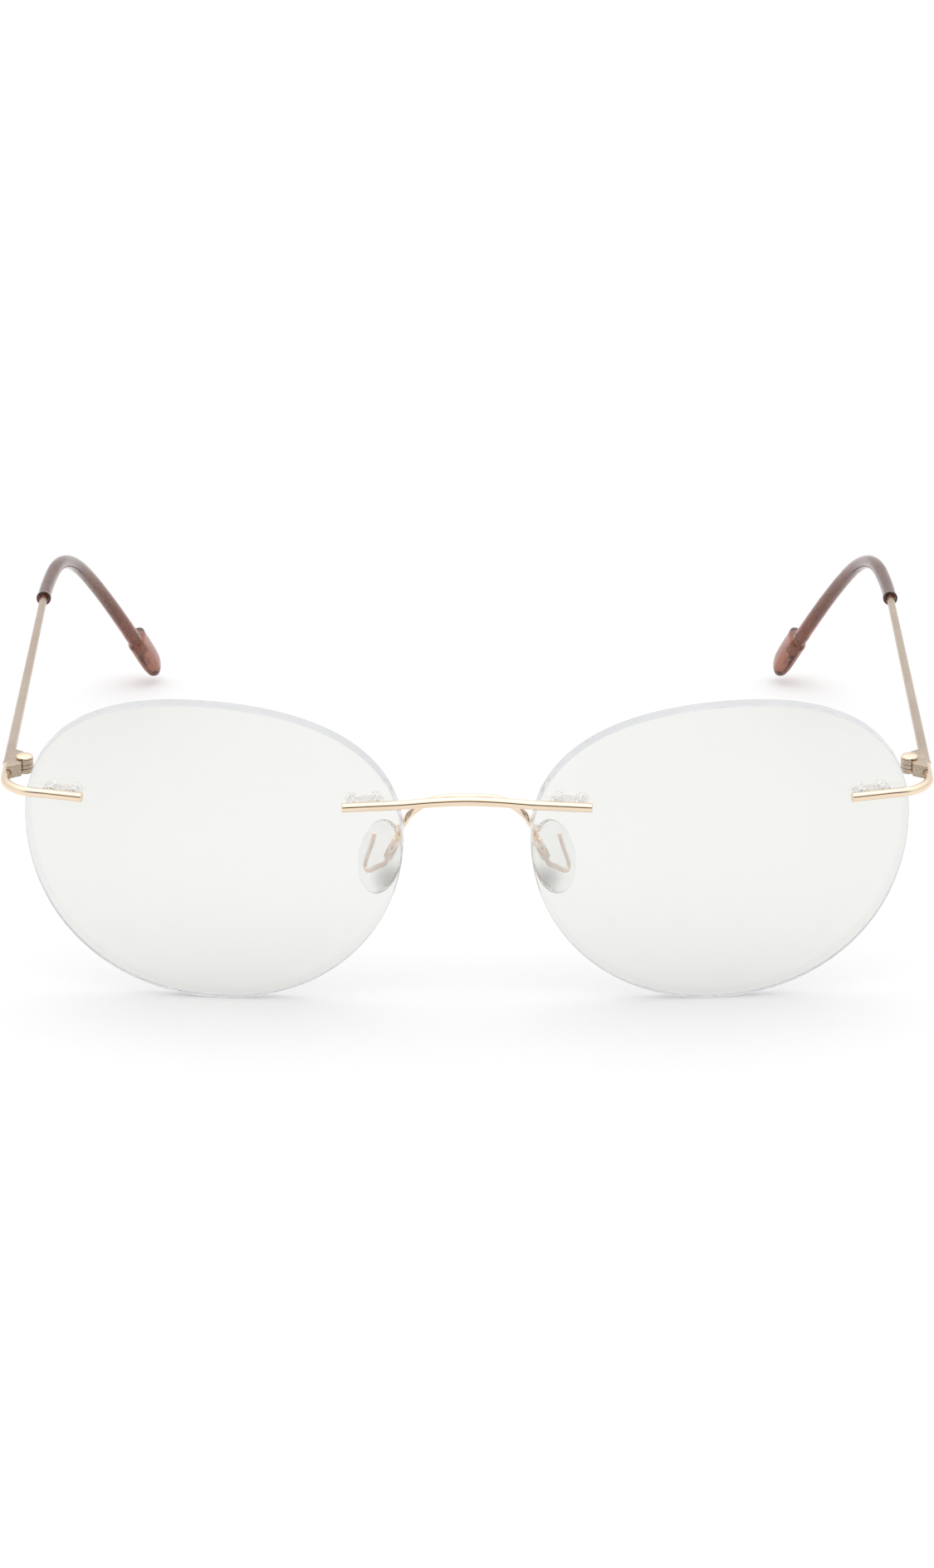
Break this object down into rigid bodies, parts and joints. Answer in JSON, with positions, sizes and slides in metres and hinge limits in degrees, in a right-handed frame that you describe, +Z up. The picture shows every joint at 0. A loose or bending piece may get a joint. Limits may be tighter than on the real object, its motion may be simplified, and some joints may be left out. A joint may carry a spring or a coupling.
{
  "type": "eyeglasses",
  "caption": "Rimless eyeglasses with drilled clear lenses, a gold wire bridge and folding wire temples that end in brown curved tips.",
  "frame": {"origin": "on the surface that the glasses stand on, under the middle of the whole object", "axes": "+X towards the wearer's left, -Y out of the front of the lenses, +Y back along the temples, +Z up"},
  "size_m": [0.128, 0.1412, 0.0438],
  "materials": {
    "clear_lens": "polished clear plastic with a faint grey-green tint",
    "polished_gold": "polished pale gold plating",
    "satin_gold": "satin pale gold plating",
    "rose_gold": "bare pinkish gold wire",
    "clear_silicone": "clear soft silicone",
    "clear_plastic": "clear moulded plastic",
    "brown_sleeve": "see-through greyish brown plastic, glossy"
  },
  "bodies": {
    "front": {"lens_left": "clear_lens", "lens_right": "clear_lens", "bridge_wire": "polished_gold", "pad_arm_wire": "polished_gold", "pad_ferrule_left": "rose_gold", "pad_ferrule_right": "rose_gold", "pad_core_left": "rose_gold", "pad_core_right": "rose_gold", "nose_pad_left": "clear_silicone", "nose_pad_right": "clear_silicone", "bridge_bush_left": "clear_plastic", "bridge_bush_right": "clear_plastic", "endpiece_bush_left": "clear_plastic", "endpiece_bush_right": "clear_plastic", "endpiece_left": "polished_gold", "endpiece_right": "polished_gold", "front_hinge_leaf_left": "satin_gold", "front_hinge_leaf_right": "satin_gold", "hinge_screw_left": "polished_gold", "hinge_screw_right": "polished_gold"},
    "left_temple": {"temple_hinge_leaf_left": "satin_gold", "temple_wire_left": "satin_gold", "temple_sleeve_left": "brown_sleeve"},
    "right_temple": {"temple_hinge_leaf_right": "satin_gold", "temple_wire_right": "satin_gold", "temple_sleeve_right": "brown_sleeve"}
  },
  "joints": [
    {"name": "left_temple_fold", "type": "hinge", "parent": "front", "child": "left_temple", "pos_m": [0.0606, -0.05409, 0.03025], "axis": [0, -0.0698, 0.9976], "range_deg": [0, 85]},
    {"name": "right_temple_fold", "type": "hinge", "parent": "front", "child": "right_temple", "pos_m": [-0.0606, -0.05409, 0.03025], "axis": [0, 0.0698, -0.9976], "range_deg": [0, 79]}
  ]
}
